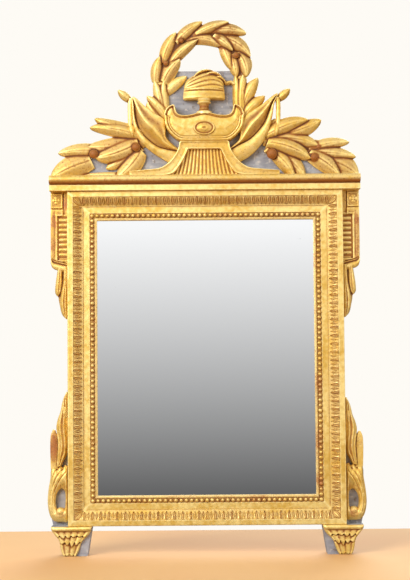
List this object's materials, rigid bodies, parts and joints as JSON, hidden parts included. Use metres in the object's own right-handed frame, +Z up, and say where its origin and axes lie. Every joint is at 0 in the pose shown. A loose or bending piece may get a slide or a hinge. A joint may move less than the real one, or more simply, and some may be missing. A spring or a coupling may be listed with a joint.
{
  "type": "giltwood mirror",
  "caption": "Rectangular mirror in a carved gilt and blue-grey painted frame with a laurel wreath and trophy crest, side scrolls, feet and hanging rings.",
  "frame": {"origin": "bottom centre of the box round the object: the soles of the feet at Z = 0, the middle of the width and of the depth", "axes": "+Z up, -Y out of the mirror towards the viewer, +X to the viewer's right"},
  "size_m": [0.4774, 0.054, 0.8],
  "materials": {
    "gilt_wood": "worn water gilding over red bole",
    "painted_wood": "matt blue-grey distemper",
    "bare_wood": "aged and unfinished",
    "silvered_glass": "polished, silvered behind",
    "iron": "wrought and rusted"
  },
  "bodies": {
    "mirror": {"frame_bottom_rail": "gilt_wood", "frame_top_rail": "gilt_wood", "frame_left_stile": "gilt_wood", "frame_right_stile": "gilt_wood", "cornice": "gilt_wood", "pedestal": "gilt_wood", "pedestal_flutes": "gilt_wood", "bowl": "gilt_wood", "bowl_medallion": "gilt_wood", "lid_stem": "gilt_wood", "lid": "gilt_wood", "flame": "gilt_wood", "flag_left": "gilt_wood", "flag_right": "gilt_wood", "flag_pole_left": "gilt_wood", "flag_pole_right": "gilt_wood", "spray_left": "gilt_wood", "spray_right": "gilt_wood", "wreath_arch": "gilt_wood", "wreath_stem_left": "gilt_wood", "wreath_stem_right": "gilt_wood", "ear_left": "gilt_wood", "ear_right": "gilt_wood", "husk_left": "gilt_wood", "husk_right": "gilt_wood", "scroll_left": "gilt_wood", "scroll_right": "gilt_wood", "foot_leaf_left": "gilt_wood", "foot_leaf_right": "gilt_wood", "crest_board": "painted_wood", "scroll_ground_left": "painted_wood", "scroll_ground_right": "painted_wood", "foot_left": "painted_wood", "foot_right": "painted_wood", "back_board_lower": "bare_wood", "back_board_middle": "bare_wood", "back_board_upper": "bare_wood", "mitre_splines": "bare_wood", "glass_spacers": "bare_wood", "crest_dowels": "bare_wood", "foot_dowels": "bare_wood", "side_dowels": "bare_wood", "wreath_dowels": "bare_wood", "mirror_glass": "silvered_glass", "back_brads": "iron", "hanging_eye_left": "iron", "hanging_eye_right": "iron"},
    "ring_left": {"hanging_ring_left": "iron"},
    "ring_right": {"hanging_ring_right": "iron"}
  },
  "joints": [
    {"name": "ring_left_swing", "type": "hinge", "parent": "mirror", "child": "ring_left", "pos_m": [-0.145, 0.021, 0.51655], "axis": [1, 0, 0], "range_deg": [-8, 188]},
    {"name": "ring_right_swing", "type": "hinge", "parent": "mirror", "child": "ring_right", "pos_m": [0.145, 0.021, 0.51655], "axis": [1, 0, 0], "range_deg": [-8, 188]}
  ]
}
